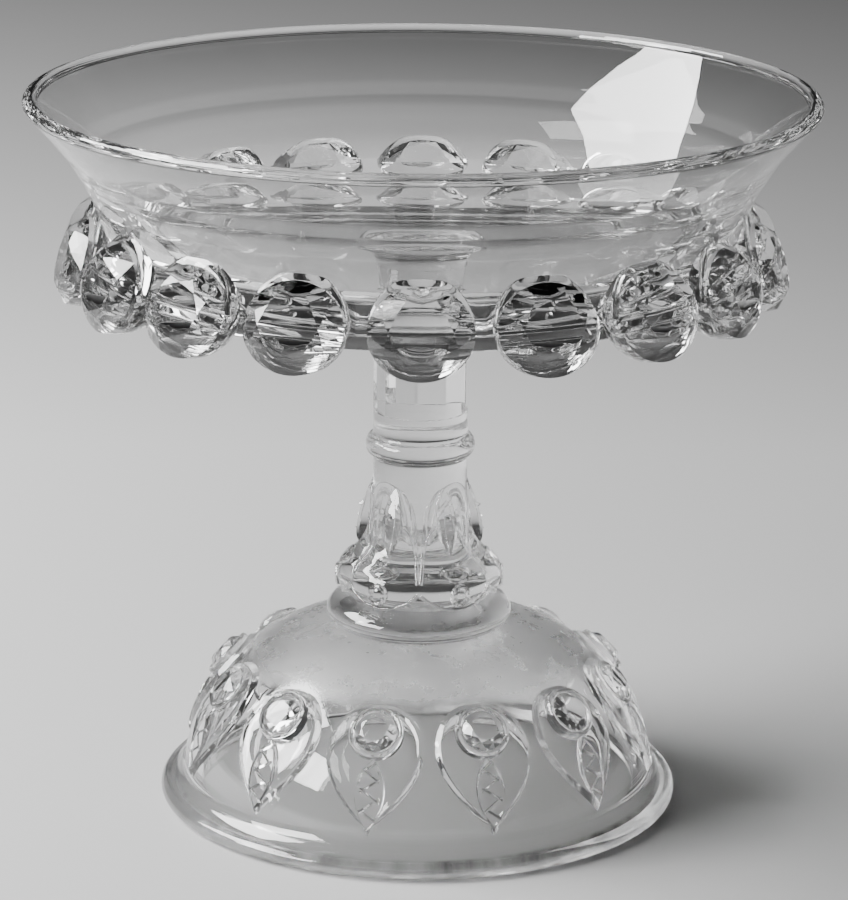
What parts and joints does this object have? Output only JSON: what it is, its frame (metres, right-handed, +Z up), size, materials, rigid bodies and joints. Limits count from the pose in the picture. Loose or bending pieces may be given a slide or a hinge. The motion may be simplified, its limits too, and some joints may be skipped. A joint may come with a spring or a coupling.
{
  "type": "footed compote bowl",
  "caption": "Clear pressed-glass compote: a wide flared bowl with a belt of faceted jewels on a panelled stem with a leaf calyx and a hollow domed foot with jewelled petals.",
  "frame": {"origin": "bottom centre of the bounding box: on the piece's own axis, in the plane of the table that the foot stands on", "axes": "+Z up along the stem's axis; one jewel of the bowl and one valley of the calyx face -Y"},
  "size_m": [0.2032, 0.2032, 0.188],
  "materials": {
    "bowl_glass": "gloss",
    "jewel_glass": "gloss",
    "stem_glass": "gloss",
    "foot_glass": "gloss",
    "petal_glass": "gloss"
  },
  "bodies": {
    "root": {"bowl": "bowl_glass", "wafer": "stem_glass", "capital": "stem_glass", "shaft": "stem_glass", "knop": "stem_glass", "lower_stem": "stem_glass", "collar": "stem_glass", "foot": "foot_glass", "jewel_1": "jewel_glass", "jewel_2": "jewel_glass", "jewel_3": "jewel_glass", "jewel_4": "jewel_glass", "jewel_5": "jewel_glass", "jewel_6": "jewel_glass", "jewel_7": "jewel_glass", "jewel_8": "jewel_glass", "jewel_9": "jewel_glass", "jewel_10": "jewel_glass", "jewel_11": "jewel_glass", "jewel_12": "jewel_glass", "jewel_13": "jewel_glass", "jewel_14": "jewel_glass", "jewel_15": "jewel_glass", "jewel_16": "jewel_glass", "jewel_17": "jewel_glass", "jewel_18": "jewel_glass", "calyx_leaf_1": "stem_glass", "calyx_leaf_2": "stem_glass", "calyx_leaf_3": "stem_glass", "calyx_leaf_4": "stem_glass", "calyx_leaf_5": "stem_glass", "calyx_leaf_6": "stem_glass", "petal_1": "petal_glass", "petal_2": "petal_glass", "petal_3": "petal_glass", "petal_4": "petal_glass", "petal_5": "petal_glass", "petal_6": "petal_glass", "petal_7": "petal_glass", "petal_8": "petal_glass", "petal_9": "petal_glass", "petal_10": "petal_glass", "petal_11": "petal_glass", "petal_12": "petal_glass"}
  },
  "joints": []
}
